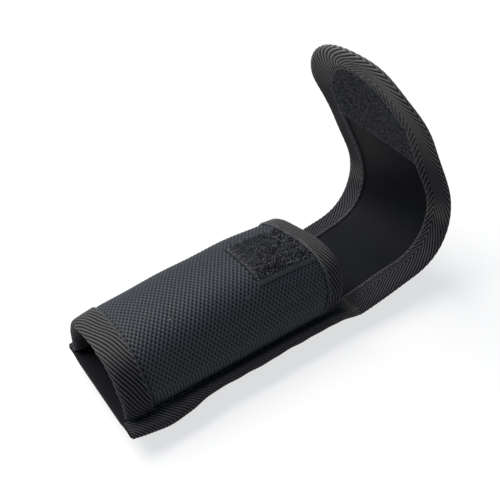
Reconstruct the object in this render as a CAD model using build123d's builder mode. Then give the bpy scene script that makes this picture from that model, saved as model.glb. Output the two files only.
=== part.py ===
"""Nylon belt holster for a hand torch, lying on its belt loop with its flap open.

Millimetres, +Z up. X runs from the open foot to the mouth and on to the flap. Y runs across.
The origin is on the surface that the holster lies on, under the middle of its box.
"""

from build123d import *
from functools import cache
from math import cos, radians, sin
import os

os.makedirs("parts", exist_ok=True)

# ---- driving dimensions ----
POUCH_LENGTH = 97.5
POUCH_WIDTH = 60.0
FLANGE = 6.0  # the flat seam allowance each side of the arched front
ARCH_FOOT, ARCH_MIDDLE, ARCH_MOUTH = 21.4, 27.1, 25.1  # front panel above the side tape
ARCH_POWER_FOOT, ARCH_POWER_MOUTH = 2.6, 3.2  # how square the arch is at its shoulders

CLOTH = 0.7  # ballistic nylon
FOAM = 1.8
LINING = 0.5
TAPE = 0.6  # binding tape, one thickness
TAPE_LEG = 9.7  # binding tape, from its fold to its edge
THREAD = 0.3  # height of a thread row above the tape
THREAD_WIDTH = 0.5
THREAD_INSET = 1.2  # from the tape's edge to its thread row

WEBBING = 1.4
BELT_GAP = 5.2  # free height of the belt tunnel
LOOP_WIDTH = 40.0
LOOP_FOOT, LOOP_MOUTH = 7.0, 96.0  # ends of the belt loop, from the foot
LOOP_SEWN = 9.0  # length sewn flat at each end
LOOP_RAMP = 6.0
LOOP_BEND = 2.6

FLAP_SLOPE = 8.5  # degrees, at the mouth
FLAP_RUNS = ((36.0, 0.0), (32.0, 97.0), (32.0, 8.0), (45.0, 13.0))  # length, turn in degrees
TIP_LENGTH = 43.5  # the part of the flap whose outline is rounded
TIP_POWER = 1.75
FOLD_MOUTH, FOLD_LOWER, FOLD_UPPER = 0.0, 38.0, 66.0  # fold lines, along the flap
SLIT_MOUTH, SLIT_FOLD, SLIT_TAPE = 0.4, 0.9, 1.3  # room left beside each fold line
SLIT_TAPE_MOUTH = 1.5

HOOK_START = 64.0  # hook patch, from the foot
HOOK_NEAR, HOOK_FAR = -19.4, 4.8
HOOK_HEIGHT = 1.5
LOOP_PATCH_START = 94.0  # loop patch, along the flap at the middle
LOOP_PATCH_SKEW = 4.5  # its lower edge is sewn a little askew
LOOP_PATCH_HEIGHT = 1.6

# ---- worked out from those ----
LAMINATE = CLOTH + FOAM + LINING
HALF = POUCH_WIDTH / 2
ARCH_HALF = HALF - FLANGE
BACK_Z = WEBBING + BELT_GAP  # underside of the back panel
LINING_Z = BACK_Z + LAMINATE  # the back panel's lining, inside the sleeve
ARCH_Z = LINING_Z + LINING
FLANGE_Z = ARCH_Z + CLOTH
TAPE_Z = FLANGE_Z + TAPE
FLAP_LENGTH = sum(length for length, turn in FLAP_RUNS)
BEND_RADIUS = FLAP_RUNS[1][0] / radians(FLAP_RUNS[1][1])
BEND_REACH = FLAP_RUNS[0][0] * cos(radians(FLAP_SLOPE)) - BEND_RADIUS * sin(radians(FLAP_SLOPE))
LONGEST = TAPE + POUCH_LENGTH + BEND_REACH + BEND_RADIUS + LAMINATE + TAPE
FOOT_X = TAPE - LONGEST / 2
MOUTH_X = FOOT_X + POUCH_LENGTH
SIDES = {"near": -1, "far": 1}


def save(piece, label):
    piece.label = label
    export_step(piece, f"parts/{label}.step")


def slab(x0, x1, y0, y1, z0, z1, mode=Mode.ADD):
    """A plain block between two corners."""
    with Locations(((x0 + x1) / 2, (y0 + y1) / 2, (z0 + z1) / 2)):
        Box(x1 - x0, y1 - y0, z1 - z0, mode=mode)


# ---- the arched front panel ----
def arch_section(x, inset):
    """Points of the arch across the sleeve at x, an inset inside the outer cloth."""
    u = (x - FOOT_X) / POUCH_LENGTH
    shape = (1 - u) * (1 - 2 * u), 4 * u * (1 - u), u * (2 * u - 1)
    rise = sum(a * h for a, h in zip(shape, (ARCH_FOOT, ARCH_MIDDLE, ARCH_MOUTH)))
    height = rise + TAPE_Z - ARCH_Z - inset
    half = ARCH_HALF - inset
    power = 2 / (ARCH_POWER_FOOT + (ARCH_POWER_MOUTH - ARCH_POWER_FOOT) * u)
    points = []
    for i in range(17):
        across, up = cos(radians(180 * i / 16)), sin(radians(180 * i / 16))
        y = -half * abs(across) ** power * (1 if across > 0 else -1)
        points.append((y, ARCH_Z + height * max(up, 0) ** power))
    return points


@cache
def arch_core(inset):
    """The solid under the arch, an inset inside the outer cloth, a little longer than the sleeve."""
    with BuildPart() as core:
        for x in (FOOT_X - 2, FOOT_X + POUCH_LENGTH / 2, MOUTH_X + 2):
            with BuildSketch(Plane.YZ.offset(x)):
                with BuildLine():
                    crest = Spline(*arch_section(x, inset), tangents=((0, 1), (0, -1)))
                    Line(crest @ 1, crest @ 0)
                make_face()
        loft()
    return core.part


def arch_shell(outside, inside, x0, x1):
    """Between two insets of the arch, from x0 to x1."""
    with BuildPart() as shell:
        add(arch_core(outside))
        add(arch_core(inside), mode=Mode.SUBTRACT)
        slab(x0, x1, -HALF, HALF, ARCH_Z, ARCH_Z + 2 * HALF, mode=Mode.INTERSECT)
    return shell.part


def make_front_panel():
    half = HALF - TAPE
    inner = ARCH_HALF - LAMINATE
    with BuildPart() as front_outer:
        add(arch_core(0))
        slab(FOOT_X, MOUTH_X, -half, half, ARCH_Z, FLANGE_Z)
        add(arch_core(CLOTH), mode=Mode.SUBTRACT)
        slab(FOOT_X, MOUTH_X, -half, half, ARCH_Z, ARCH_Z + 2 * HALF, mode=Mode.INTERSECT)
    save(front_outer.part, "front_outer")

    with BuildPart() as front_foam:
        add(arch_shell(CLOTH, CLOTH + FOAM, FOOT_X, MOUTH_X))
    save(front_foam.part, "front_foam")

    with BuildPart() as front_lining:
        add(arch_core(CLOTH + FOAM))
        slab(FOOT_X, MOUTH_X, -half, half, LINING_Z, ARCH_Z)
        add(arch_core(LAMINATE), mode=Mode.SUBTRACT)
        slab(FOOT_X, MOUTH_X, -inner, inner, LINING_Z, ARCH_Z, mode=Mode.SUBTRACT)
        slab(FOOT_X, MOUTH_X, -half, half, LINING_Z, ARCH_Z + 2 * HALF, mode=Mode.INTERSECT)
    save(front_lining.part, "front_lining")


def arch_binding(x_edge, x_inner):
    """Tape folded round the front panel's edge at x_edge, its legs ending at x_inner."""
    x_fold = x_edge + TAPE * (1 if x_edge > x_inner else -1)
    with BuildPart() as tape:
        add(arch_shell(-TAPE, LAMINATE + TAPE, *sorted((x_fold, x_inner))))
        add(arch_shell(0, LAMINATE, *sorted((x_edge, x_inner))), mode=Mode.SUBTRACT)
        for side in SIDES.values():
            ends = sorted((side * (ARCH_HALF - CLOTH), side * HALF))
            slab(FOOT_X - 2, MOUTH_X + 2, *ends, ARCH_Z, FLANGE_Z, mode=Mode.SUBTRACT)
    return tape.part


def arch_thread(x):
    """A row of stitches over the arch on top of the tape."""
    with BuildPart() as row:
        add(arch_shell(-TAPE - THREAD, -TAPE, x, x + THREAD_WIDTH))
        slab(x - 1, x + 1, -HALF, HALF, ARCH_Z, TAPE_Z, mode=Mode.SUBTRACT)
    return row.part


def make_arch_bindings():
    save(arch_binding(FOOT_X, FOOT_X + TAPE_LEG), "foot_binding")
    save(arch_binding(MOUTH_X, MOUTH_X - TAPE_LEG), "mouth_binding")
    save(arch_thread(FOOT_X + TAPE_LEG - THREAD_INSET - THREAD_WIDTH), "foot_binding_thread")
    save(arch_thread(MOUTH_X - TAPE_LEG + THREAD_INSET), "mouth_binding_thread")


def make_hook_patch():
    hook_end = MOUTH_X - TAPE_LEG
    hook_x = FOOT_X + HOOK_START
    with BuildPart() as hook_patch:
        add(arch_shell(-HOOK_HEIGHT, 0, hook_x, hook_end))
        slab(hook_x, hook_end, HOOK_NEAR, HOOK_FAR, FLANGE_Z, 2 * HALF, mode=Mode.INTERSECT)
    save(hook_patch.part, "hook_patch")

    inset = THREAD_INSET + THREAD_WIDTH
    with BuildPart() as hook_patch_thread:
        add(arch_shell(-HOOK_HEIGHT - THREAD, -HOOK_HEIGHT, hook_x + THREAD_INSET, hook_end))
        slab(hook_x, hook_end, HOOK_NEAR + THREAD_INSET, HOOK_FAR - THREAD_INSET, FLANGE_Z, 2 * HALF,
             mode=Mode.INTERSECT)
        slab(hook_x + inset, hook_end, HOOK_NEAR + inset, HOOK_FAR - inset, FLANGE_Z, 2 * HALF,
             mode=Mode.SUBTRACT)
    save(hook_patch_thread.part, "hook_patch_thread")


# ---- the flat back panel and its sides ----
def make_back_panel():
    back_end = MOUTH_X - SLIT_MOUTH
    half = HALF - TAPE
    with BuildPart() as back_outer:
        slab(FOOT_X, back_end, -half, half, BACK_Z, BACK_Z + CLOTH)
    save(back_outer.part, "back_outer")

    with BuildPart() as back_foam:
        slab(FOOT_X, back_end, -half, half, BACK_Z + CLOTH, LINING_Z - LINING)
    save(back_foam.part, "back_foam")

    with BuildPart() as back_lining:
        slab(FOOT_X, back_end, -half, half, LINING_Z - LINING, LINING_Z)
        slab(FOOT_X - LINING, FOOT_X, -half, half, BACK_Z, LINING_Z)
    save(back_lining.part, "back_lining")


def make_side_bindings():
    for name, side in SIDES.items():
        top = sorted((side * (ARCH_HALF + TAPE + 0.1), side * HALF))
        fold = sorted((side * (HALF - TAPE), side * HALF))
        under = sorted((side * (HALF - TAPE_LEG), side * HALF))
        row_y = side * (ARCH_HALF + TAPE + THREAD_INSET)
        with BuildPart() as side_binding:
            slab(FOOT_X, MOUTH_X, *fold, BACK_Z, FLANGE_Z)
            slab(FOOT_X, MOUTH_X, *top, FLANGE_Z, TAPE_Z)
            slab(FOOT_X, MOUTH_X, *under, BACK_Z - TAPE, BACK_Z)
        save(side_binding.part, f"side_binding_{name}")
        with BuildPart() as side_thread:
            row = row_y - THREAD_WIDTH / 2, row_y + THREAD_WIDTH / 2
            slab(FOOT_X + 2, MOUTH_X - 2, *row, TAPE_Z, TAPE_Z + THREAD)
        save(side_thread.part, f"side_thread_{name}")


# ---- the belt loop ----
def loop_route(height):
    """The belt loop's lengthwise line, webbing and box stitches, at that height in the webbing."""
    start, end = FOOT_X + LOOP_FOOT, FOOT_X + LOOP_MOUTH
    top, low = BACK_Z - WEBBING + height, height
    lean = WEBBING * 0.35 * (1 if height > 0 else 0)
    return (
        (start, top),
        (start + LOOP_SEWN + lean, top),
        (start + LOOP_SEWN + LOOP_RAMP + lean, low),
        (end - LOOP_SEWN - LOOP_RAMP - lean, low),
        (end - LOOP_SEWN - lean, top),
        (end, top),
    )


def make_belt_loop():
    with BuildPart() as belt_loop:
        with BuildSketch(Plane.XZ.offset(-LOOP_WIDTH / 2)):
            with BuildLine():
                upper = FilletPolyline(*loop_route(WEBBING), radius=LOOP_BEND)
                lower = FilletPolyline(*loop_route(0), radius=LOOP_BEND)
                Line(upper @ 0, lower @ 0)
                Line(upper @ 1, lower @ 1)
            make_face()
        extrude(amount=LOOP_WIDTH)
    save(belt_loop.part, "belt_loop")

    z = BACK_Z - WEBBING
    half = LOOP_WIDTH / 2 - THREAD_INSET
    with BuildPart() as belt_loop_thread:
        for x in (FOOT_X + LOOP_FOOT, FOOT_X + LOOP_MOUTH - LOOP_SEWN):
            x0, x1 = x + THREAD_INSET, x + LOOP_SEWN - THREAD_INSET
            slab(x0, x1, -half, half, z - THREAD, z)
            slab(x0 + THREAD_WIDTH, x1 - THREAD_WIDTH, THREAD_WIDTH - half, half - THREAD_WIDTH,
                 z - THREAD, z, mode=Mode.SUBTRACT)
    save(belt_loop_thread.part, "belt_loop_thread")


# ---- the flap ----
def flap_point(s, depth):
    """Where the flap is at s along its lining from the mouth, that depth behind the lining."""
    x, z, heading = MOUTH_X, LINING_Z, FLAP_SLOPE
    for length, turn in FLAP_RUNS:
        part = min(max(s, 0), length)
        mean = radians(heading + turn * part / length / 2)
        half_turn = radians(turn * part / length / 2)
        chord = part * (sin(half_turn) / half_turn if half_turn else 1)
        x, z, heading = x + chord * cos(mean), z + chord * sin(mean), heading + turn * part / length
        s -= part
    return x + depth * sin(radians(heading)), z - depth * cos(radians(heading))


def flap_line(s0, s1, depth):
    """Draws the flap's lengthwise line from s0 to s1 at that depth, and gives its two ends."""
    start = 0
    for length, turn in FLAP_RUNS:
        a, b = max(s0, start), min(s1, start + length)
        if b > a and turn:
            ThreePointArc(*(flap_point(s, depth) for s in (a, (a + b) / 2, b)))
        elif b > a:
            Line(flap_point(a, depth), flap_point(b, depth))
        start += length
    return flap_point(s0, depth), flap_point(s1, depth)


def flap_band(span, depths, across):
    """A strip of the flap: spans along it, through it and across it."""
    with BuildPart() as band:
        with BuildSketch(Plane.XZ.offset(-across[1])):
            with BuildLine():
                front = flap_line(*span, depths[0])
                back = flap_line(*span, depths[1])
                Line(front[0], back[0])
                Line(front[1], back[1])
            make_face()
        extrude(amount=across[1] - across[0])
    return band.part


def tip_prism(inset, start=0.0, skew=0.0):
    """A prism through the flap's tip whose outline is the flap's, less an inset all round.

    Its lower edge crosses the flap at start, and leans by skew at each side.
    """
    root = FLAP_LENGTH - TIP_LENGTH
    foot, end = flap_point(root, 0), flap_point(FLAP_LENGTH, 0)
    plane = Plane(origin=(foot[0], 0, foot[1]), x_dir=(end[0] - foot[0], 0, end[1] - foot[1]),
                  z_dir=(foot[1] - end[1], 0, end[0] - foot[0]))
    chord = Vector(end[0] - foot[0], end[1] - foot[1]).length
    half, length = HALF - inset, chord - inset
    outline = []
    for i in range(1, 12):
        across, along = cos(radians(180 * i / 12)), sin(radians(180 * i / 12))
        y = -half * abs(across) ** (2 / TIP_POWER) * (1 if across > 0 else -1)
        outline.append((length * along ** (2 / TIP_POWER), y))
    low = start - root
    with BuildPart() as prism:
        with BuildSketch(plane):
            with BuildLine():
                curve = Spline((0, -half), *outline, (0, half), tangents=((1, 0), (-1, 0)))
                near = (low - skew, -half)
                far = (low + skew, half)
                Polyline(curve @ 0, near, far, curve @ 1)
            make_face()
        extrude(amount=HALF, both=True)
    return prism.part


def make_flap_part(name, span, last=False):
    """The laminate of one part of the flap: outer cloth, foam and lining."""
    half = HALF - TAPE
    layers = {"lining": (0, LINING), "foam": (LINING, LINING + FOAM), "outer": (LINING + FOAM, LAMINATE)}
    for layer, depths in layers.items():
        with BuildPart() as flap_layer:
            add(flap_band(span, depths, (-half, half)))
            if last:
                add(tip_prism(TAPE), mode=Mode.INTERSECT)
        save(flap_layer.part, f"flap_{name}_{layer}")


def make_flap_binding(name, span):
    """Tape folded round the flap's two long edges, and its thread rows."""
    for edge, side in SIDES.items():
        leg = sorted((side * (HALF - TAPE_LEG), side * HALF))
        fold = sorted((side * (HALF - TAPE), side * HALF))
        with BuildPart() as flap_binding:
            add(flap_band(span, (-TAPE, 0), leg))
            add(flap_band(span, (0, LAMINATE), fold))
            add(flap_band(span, (LAMINATE, LAMINATE + TAPE), leg))
        save(flap_binding.part, f"flap_{name}_binding_{edge}")

    row = HALF - TAPE_LEG + THREAD_INSET
    with BuildPart() as flap_thread:
        for side in SIDES.values():
            ends = sorted((side * row, side * (row + THREAD_WIDTH)))
            add(flap_band(span, (-TAPE - THREAD, -TAPE), ends))
    save(flap_thread.part, f"flap_{name}_thread")


def make_tip_binding(span):
    """One length of tape folded round the tip, its thread row beside its inner edge."""
    whole = (-HALF, HALF)
    with BuildPart() as filling:
        add(flap_band(span, (0, LAMINATE), whole))
        add(tip_prism(TAPE), mode=Mode.INTERSECT)
    with BuildPart() as flap_tip_binding:
        add(flap_band(span, (-TAPE, LAMINATE + TAPE), whole))
        add(tip_prism(0), mode=Mode.INTERSECT)
        add(tip_prism(TAPE_LEG), mode=Mode.SUBTRACT)
        add(filling.part, mode=Mode.SUBTRACT)
    save(flap_tip_binding.part, "flap_tip_binding")

    row = TAPE_LEG - THREAD_INSET
    with BuildPart() as flap_tip_thread:
        add(flap_band(span, (-TAPE - THREAD, -TAPE), whole))
        add(tip_prism(row - THREAD_WIDTH), mode=Mode.INTERSECT)
        add(tip_prism(row), mode=Mode.SUBTRACT)
    save(flap_tip_thread.part, "flap_tip_thread")


def make_loop_patch():
    whole = (-HALF, HALF)
    span = (LOOP_PATCH_START - 2 * LOOP_PATCH_SKEW, FLAP_LENGTH)
    edge, lean = LOOP_PATCH_START, LOOP_PATCH_SKEW
    with BuildPart() as loop_patch:
        add(flap_band(span, (-LOOP_PATCH_HEIGHT, 0), whole))
        add(tip_prism(TAPE_LEG, edge, lean), mode=Mode.INTERSECT)
    save(loop_patch.part, "loop_patch")

    gap = THREAD_INSET
    with BuildPart() as loop_patch_thread:
        add(flap_band(span, (-LOOP_PATCH_HEIGHT - THREAD, -LOOP_PATCH_HEIGHT), whole))
        add(tip_prism(TAPE_LEG + gap, edge + gap, lean), mode=Mode.INTERSECT)
        add(tip_prism(TAPE_LEG + gap + THREAD_WIDTH, edge + gap + THREAD_WIDTH, lean),
            mode=Mode.SUBTRACT)
    save(loop_patch_thread.part, "loop_patch_thread")


def make_flap():
    make_flap_part("base", (FOLD_MOUTH + SLIT_MOUTH, FOLD_LOWER - SLIT_FOLD))
    make_flap_part("crown", (FOLD_LOWER + SLIT_FOLD, FOLD_UPPER - SLIT_FOLD))
    make_flap_part("tip", (FOLD_UPPER + SLIT_FOLD, FLAP_LENGTH), last=True)
    make_flap_binding("base", (FOLD_MOUTH + SLIT_TAPE_MOUTH, FOLD_LOWER - SLIT_TAPE))
    make_flap_binding("crown", (FOLD_LOWER + SLIT_TAPE, FOLD_UPPER - SLIT_TAPE))
    make_tip_binding((FOLD_UPPER + SLIT_TAPE, FLAP_LENGTH))
    make_loop_patch()


make_front_panel()
make_arch_bindings()
make_hook_patch()
make_back_panel()
make_side_bindings()
make_belt_loop()
make_flap()
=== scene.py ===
"""Looks of the belt holster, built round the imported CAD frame. Lengths are millimetres until build()."""

import math

import bpy
import numpy as np
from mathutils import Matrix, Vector


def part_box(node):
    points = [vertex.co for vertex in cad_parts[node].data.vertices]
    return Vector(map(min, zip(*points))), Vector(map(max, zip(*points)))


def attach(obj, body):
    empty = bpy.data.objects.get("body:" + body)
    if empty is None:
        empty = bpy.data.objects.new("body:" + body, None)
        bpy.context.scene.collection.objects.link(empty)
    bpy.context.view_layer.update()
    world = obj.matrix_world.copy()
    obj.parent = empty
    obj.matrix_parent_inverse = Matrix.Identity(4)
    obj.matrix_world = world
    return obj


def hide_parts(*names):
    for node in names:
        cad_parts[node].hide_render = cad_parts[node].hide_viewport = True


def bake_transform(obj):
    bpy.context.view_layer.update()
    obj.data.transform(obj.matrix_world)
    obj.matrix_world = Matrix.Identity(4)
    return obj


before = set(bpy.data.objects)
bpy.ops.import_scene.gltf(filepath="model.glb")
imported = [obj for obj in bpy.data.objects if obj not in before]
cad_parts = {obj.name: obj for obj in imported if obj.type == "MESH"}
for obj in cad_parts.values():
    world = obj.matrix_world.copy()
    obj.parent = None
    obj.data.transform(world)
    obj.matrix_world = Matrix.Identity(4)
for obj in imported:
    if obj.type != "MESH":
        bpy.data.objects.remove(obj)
scene = bpy.context.scene
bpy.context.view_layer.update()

MM = 1000.0  # millimetres in a metre


def at(node, end, axis):
    """One face of a CAD node's box, in millimetres: end 0 is the low one, axis 0 to 2 is x to z."""
    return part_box(node)[end][axis] * MM


# ---- measures in millimetres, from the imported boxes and, for sections, as in part.py ----
FOOT = at("front_outer", 0, 0)
MOUTH = at("front_outer", 1, 0)
HALF = at("side_binding_far", 1, 1)
LINING_Z = at("front_lining", 0, 2)
ARCH_Z = at("front_outer", 0, 2)
TAPE_Z = at("side_binding_near", 1, 2)
ARCH_HALF = 24.0
LENGTH = MOUTH - FOOT
CLOTH, FOAM, LINING, TAPE = 0.7, 1.8, 0.5, 0.6  # thicknesses
LAMINATE = CLOTH + FOAM + LINING
LEG, FLAP_LEG, MOUTH_LEG = 9.7, 10.6, 7.5  # how far the binding tapes reach in from their folds
TRIM = 0.8  # how far inside the tape's fold the panel layers end
TIP_TRIM = 2.2  # and how far at the flap's tip
FLANGE_RISE = ARCH_Z + CLOTH - LINING_Z
FLANGE_IN = 23.5  # where the front's flanges end and its arch begins, across
RISES = (21.4, 27.1, 25.1)  # of the arch, at the foot, halfway and at the mouth
POWERS = (2.6, 3.2)  # of the arch's superellipse, at the foot and at the mouth
FLAP_LENGTH, TIP_LENGTH, TIP_POWER = 145.0, 43.5, 1.75
TIP_START = FLAP_LENGTH - TIP_LENGTH
FOOT_OVERHANG = (2.0, 1.0)  # the back panel shows this far past the front, near and far
CUTS = (-12.0, 20.0, 52.0)  # along the flap, where one blended group ends and the next starts
CELL_A, CELL_B = 0.89, 1.28  # one cell of the ballistic weave, along and round the sleeve
BAND_RIB = 1.3  # pitch of the cross ribs that the weave shows by the seams
STEP = 0.25  # between the samples of the panel's sides and of the flap's outline
SIDE_START, SIDE_END = -104.0, 152.0  # how far the panel's sides are worked out, from the mouth


def smooth(t):
    t = np.clip(t, 0, 1)
    return t * t * (3 - 2 * t)


def bell(t):
    return np.exp(-(t**2))


def summed(steps):
    return np.concatenate([[0], np.cumsum(steps)])


def travel(line):
    """The distance gone along a line, at each of its points."""
    return summed(np.linalg.norm(np.diff(line, axis=0), axis=1))


def averaged(values, width):
    """A running mean over an odd number of samples."""
    return np.convolve(np.pad(values, width // 2, "edge"), np.ones(width) / width, "valid")


def flat(x, y):
    return np.stack([x, y, 0 * x], -1)


def grid(rows, cols):
    return np.meshgrid(rows, cols, indexing="ij")


def unit(v):
    return v / np.maximum(np.linalg.norm(v, axis=-1, keepdims=True), 1e-12)


# ---- the back panel and flap, one bent surface ----
SIDE_S = np.arange(SIDE_START, SIDE_END, STEP)


def side_line(curl, start, reach):
    """Headings and positions along one edge of the panel, from the lining's face."""
    mouth_bend, flap_bend = 8.0 * smooth((SIDE_S + 8) / 22), 104.0 * smooth((SIDE_S - 27.5) / 50.5)
    h = np.radians(mouth_bend + flap_bend + curl * smooth((SIDE_S - start) / reach))
    x = MOUTH + SIDE_START + summed((np.cos(h[1:]) + np.cos(h[:-1])) / 2 * STEP)
    z = LINING_Z + summed((np.sin(h[1:]) + np.sin(h[:-1])) / 2 * STEP)
    return h, x, z


NEAR_EDGE, FAR_EDGE = side_line(9.0, 98.0, 46.0), side_line(19.0, 96.0, 36.0)


def half_width(s, inset=0.0, short=0.0):
    """Half the panel's width at s, inset from the flap's outline."""
    u = np.clip((s - TIP_START) / (TIP_LENGTH - short), 0, 1)
    return (HALF - inset) * (1 - u**TIP_POWER) ** (1 / TIP_POWER)


def foot_flare(s, y):
    """The side seam flares and droops a little near the foot, more on the near side."""
    return bell((s + LENGTH - 13) / 13) * np.where(y < 0, 1.0, 0.5)


def panel(s, y, depth):
    """A point of the back panel or flap: s from the mouth, y across, depth below the lining's face.
    The layers are pinched together under the binding, by the sewing."""
    s, y, depth = np.broadcast_arrays(s, y, depth)
    t = (y + HALF) / (2 * HALF)
    h, x, z = [(1 - t) * np.interp(s, SIDE_S, n) + t * np.interp(s, SIDE_S, f) for n, f in zip(NEAR_EDGE, FAR_EDGE)]
    pouch = 1 - smooth((s + 7) / 12)
    flare = foot_flare(s, y)
    inside = half_width(s) - np.abs(y)
    middle = -0.8 * pouch + 1.4 * (1 - pouch)
    close = (0.42 + 0.34 * flare) * pouch + 0.74 * (1 - pouch)
    depth = middle + (depth - middle) * (1 - smooth((11 - inside) / 6) * (1 - close))
    flap = smooth((s - 6) / 30)
    wave = flap * (0.5 * np.sin(s * 0.085 + 0.6) * np.cos(y * 0.09 + 0.5) + 0.25 * np.sin(s * 0.19 + y * 0.12))
    wave += 0.22 * (1 - flap) * np.sin(s * 0.11 + 1.0) * np.cos(y * 0.13) * smooth((s + LENGTH) / 12)
    edge = smooth((8 - inside) / 8) * pouch
    wave -= 1.5 * flare * edge
    across = y + np.sign(y) * edge * (1.7 * flare - 0.7)
    cup = 1.6 * smooth((s - 90) / 40) * (y / HALF) ** 2
    d = depth - wave - cup
    return np.stack([x + d * np.sin(h), across + 0 * h, z - d * np.cos(h)], -1)


def resample(line):
    gone = travel(line)
    even = np.linspace(0, gone[-1], round(gone[-1] / STEP) + 1)
    return np.stack([np.interp(even, gone, line[:, i]) for i in (0, 1)], -1)


def outline():
    """The flap's edge in the flat, from the near mouth corner round to the far one, and its inward normals."""
    phi = np.linspace(0, math.pi / 2, 700)
    along, across = (reach * f(phi) ** (2 / TIP_POWER) for reach, f in ((TIP_LENGTH, np.sin), (HALF, np.cos)))
    tip = np.stack([TIP_START + along, -across], -1)
    line = np.concatenate([[[0.0, -HALF]], tip, (tip * [1, -1])[::-1][1:], [[0.0, HALF]]])
    for _ in range(3):
        line = resample(line)
        soft = np.stack([averaged(line[:, i], 33) for i in (0, 1)], -1)
        keep = smooth((line[:, 0] - FLAP_LENGTH + 26) / 12)[:, None]
        line = line * (1 - keep) + soft * keep
    line = resample(line)
    inward = unit(np.gradient(line, axis=0))[:, ::-1] * [-1, 1]
    return line, np.stack([averaged(inward[:, i], 25) for i in (0, 1)], -1)


RIM, RIM_IN = outline()
RIM_LENGTH = STEP * (len(RIM) - 1)
RIM_TRACK = np.linspace(0, RIM_LENGTH, len(RIM))


def rim_place(a, w, d):
    """A point by the flap's edge: a round it, w inward from it, d above the lining."""
    s, y = (np.interp(a, RIM_TRACK, RIM[:, i]) + w * np.interp(a, RIM_TRACK, RIM_IN[:, i]) for i in (0, 1))
    return panel(s, y, -d)


# ---- the arched front panel, as a table of points by distance from the foot and round the arch ----
TABLE_X = np.linspace(0, LENGTH, 157)
ROUND, SHOULDER = 1201, 100  # the table's columns, and how many of them are on each flange
FLANGE_SAMPLES = 40


def arch_table():
    """Points across the sleeve for each TABLE_X, on a flange, the arch and the other flange, their outward normals,
    and the arch's mean length round."""
    theta = np.linspace(0, math.pi, 2001)
    rows, base = [], []
    edge = HALF - TRIM
    for x in TABLE_X:
        u = x / LENGTH
        shape = (1 - u) * (1 - 2 * u), 4 * u * (1 - u), u * (2 * u - 1)
        height = sum(a * h for a, h in zip(shape, RISES)) + TAPE_Z - ARCH_Z
        power = 2 / (POWERS[0] + (POWERS[1] - POWERS[0]) * u)
        across, up = np.cos(theta), np.clip(np.sin(theta), 0, 1)
        y = -ARCH_HALF * np.sign(across) * np.abs(across) ** power
        z = ARCH_Z + height * up**power
        rise = np.clip((z - ARCH_Z) / 14, 0, 1)
        y = y * (1 + 0.040 * np.sin(math.pi * rise) - 0.03 * (1 - rise) ** 6 * smooth(x / 15))
        y = y * (1 + 0.010 * np.sin(x * 0.075 + 0.8) * rise)
        z = z + 0.35 * np.sin(x * 0.09 + 1.1) * np.sin(theta) ** 2 + 0.2 * np.sin(x * 0.21) * np.sin(2 * theta) ** 2
        low_near, low_far = (panel(x - LENGTH, side * 23.4, -FLANGE_RISE)[2] for side in (-1, 1))
        ok = z > np.where(theta < math.pi / 2, low_near, low_far) + 0.02
        arch = np.stack([y, z], -1)[ok]
        y_near = np.linspace(-edge, arch[0, 0] - 0.15, FLANGE_SAMPLES)
        y_far = np.linspace(arch[-1, 0] + 0.15, edge, FLANGE_SAMPLES)
        near, far = (panel(x - LENGTH, v, -FLANGE_RISE)[:, 1:] for v in (y_near, y_far))
        line = np.concatenate([near, arch, far])
        gone = travel(line)
        start, end = gone[FLANGE_SAMPLES], gone[-1 - FLANGE_SAMPLES]
        # fixed shares of the columns, so that the arch's bases stay at the same ones
        share = np.concatenate([np.linspace(0, start, SHOULDER + 1)[:-1], np.linspace(start, end, ROUND - 2 * SHOULDER),
                                np.linspace(end, gone[-1], SHOULDER + 1)[1:]])
        y, z = (np.interp(share, gone, line[:, i]) for i in (0, 1))
        rows.append(np.stack([np.full(ROUND, x + FOOT), y, z], -1))
        base.append(end - start)
    points = np.array(rows)
    cross = unit(np.cross(np.gradient(points, axis=0), np.gradient(points, axis=1)))
    return points, cross, float(np.mean(base))


ARCH, ARCH_OUT, ARCH_LENGTH = arch_table()
FLANGE_SPAN = HALF - TRIM - FLANGE_IN


def arch_columns(b):
    """Table column of b, the distance round the arch from its near base, which is negative on the near flange."""
    return np.interp(b, [-FLANGE_SPAN, 0, ARCH_LENGTH, ARCH_LENGTH + FLANGE_SPAN],
                     [0, SHOULDER, ROUND - 1 - SHOULDER, ROUND - 1])


def look_up(table, x, b):
    i = np.clip(x / LENGTH * (len(TABLE_X) - 1), 0, len(TABLE_X) - 1.0001)
    j = np.clip(arch_columns(b), 0, ROUND - 1.0001)
    i0, j0 = i.astype(int), j.astype(int)
    p, q = (i - i0)[..., None], (j - j0)[..., None]
    return ((1 - p) * (1 - q) * table[i0, j0] + p * (1 - q) * table[i0 + 1, j0]
            + (1 - p) * q * table[i0, j0 + 1] + p * q * table[i0 + 1, j0 + 1])


def arch_place(x, b, d):
    """A point over the front panel: x from the foot, b round the arch, d above the cloth."""
    x, b, d = np.broadcast_arrays(np.asarray(x, float), b, d)
    out = look_up(ARCH, x, b) + d[..., None] * unit(look_up(ARCH_OUT, x, b))
    out[..., 0] += np.minimum(x, 0) + np.maximum(x - LENGTH, 0)
    return out


def mouth_rim(b):
    """How far the mouth's rim is from the foot, round the arch: it draws back to the seams."""
    low = np.minimum(b, ARCH_LENGTH - b)
    back = 7.0 * np.clip(1 - low / 13.0, 0, 1.2) ** 2
    return LENGTH - back + 0.5 * bell((low - 17) / 6) - 2.4 * smooth((b - 22) / 45)


# ---- meshes ----
def show(name, data):
    obj = bpy.data.objects.new(name, data)
    scene.collection.objects.link(obj)
    return obj


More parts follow.
